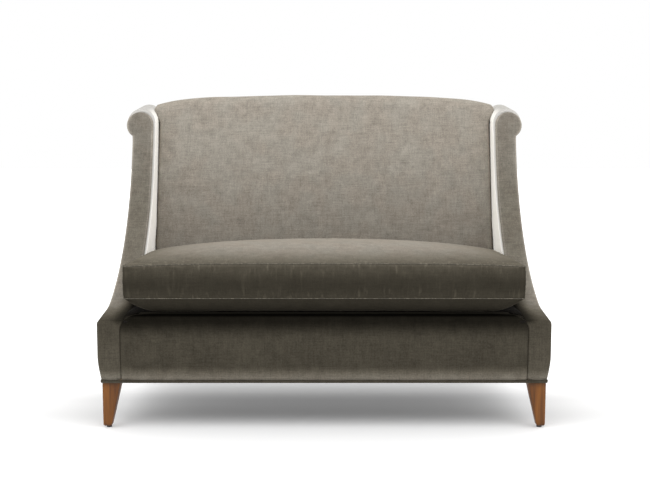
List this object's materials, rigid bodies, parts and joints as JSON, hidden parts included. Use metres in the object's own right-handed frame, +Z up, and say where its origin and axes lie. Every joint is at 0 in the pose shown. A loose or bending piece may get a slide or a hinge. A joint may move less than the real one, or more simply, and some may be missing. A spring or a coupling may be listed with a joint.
{
  "type": "loveseat",
  "caption": "Upholstered loveseat with swept scroll arms, a high reclined back, one loose boxed seat cushion and short tapered wooden legs.",
  "frame": {"origin": "on the floor, under the middle of the sofa's overall box", "axes": "+X to the viewer's right along the seat, +Y from the front to the back, +Z up"},
  "size_m": [1.424, 0.8406, 1.05],
  "materials": {
    "taupe_velvet": "short-pile cotton velvet, warm grey-taupe, soft mottled nap",
    "ivory_velvet": "short-pile velvet, ivory",
    "platform_cloth": "plain woven platform lining",
    "dust_cloth": "thin black non-woven cloth",
    "foam": "upholstery foam with a fibre wrap",
    "hessian": "coarse jute cloth",
    "webbing": "herringbone jute webbing",
    "leg_wood": "warm mid-brown stained hardwood, satin lacquer",
    "frame_beech": "planed, unfinished",
    "frame_plywood": "birch plywood, unfinished",
    "spring_steel": "oil-tempered wire",
    "glide_nylon": "dark moulded nylon",
    "zip_tape": "woven polyester tape",
    "zip_metal": "die-cast, satin"
  },
  "bodies": {
    "frame": {"arm_facing_left": "taupe_velvet", "arm_facing_right": "taupe_velvet", "arm_ply_inner_left": "frame_plywood", "arm_ply_inner_right": "frame_plywood", "arm_ply_outer_left": "frame_plywood", "arm_ply_outer_right": "frame_plywood", "arm_roll_left": "ivory_velvet", "arm_roll_right": "ivory_velvet", "arm_spacers_left": "frame_beech", "arm_spacers_right": "frame_beech", "back_bottom_rail": "frame_beech", "back_foam": "foam", "back_post_left": "frame_beech", "back_post_right": "frame_beech", "back_top_rail": "frame_beech", "back_upright": "frame_beech", "back_webbing": "webbing", "base_rail_left": "frame_beech", "base_rail_right": "frame_beech", "bottom_band": "taupe_velvet", "corner_blocks": "frame_beech", "dust_cover": "dust_cloth", "front_border": "taupe_velvet", "front_rail": "frame_beech", "inside_arm_left": "ivory_velvet", "inside_arm_right": "ivory_velvet", "inside_back": "taupe_velvet", "leg_bolts": "spring_steel", "leg_front_left": "leg_wood", "leg_front_right": "leg_wood", "leg_glides": "glide_nylon", "leg_rear_left": "leg_wood", "leg_rear_right": "leg_wood", "outside_arm_left": "taupe_velvet", "outside_arm_right": "taupe_velvet", "outside_back": "taupe_velvet", "rear_rail": "frame_beech", "roll_core_left": "frame_beech", "roll_core_right": "frame_beech", "seat_deck": "platform_cloth", "seat_hessian": "hessian", "seat_middle_rail": "frame_beech", "seat_springs": "spring_steel", "spring_clips": "spring_steel"},
    "seat_cushion": {"cushion_cover": "taupe_velvet", "cushion_core": "foam", "zip_tape": "zip_tape"},
    "zip_slider": {"zip_slider": "zip_metal"}
  },
  "joints": [
    {"name": "cushion_lift", "type": "slide", "parent": "frame", "child": "seat_cushion", "axis": [0, -0.5, 0.866], "range_m": [0, 0.75]},
    {"name": "zip_slide", "type": "slide", "parent": "seat_cushion", "child": "zip_slider", "axis": [-1, 0, 0], "range_m": [0, 0.94]}
  ]
}
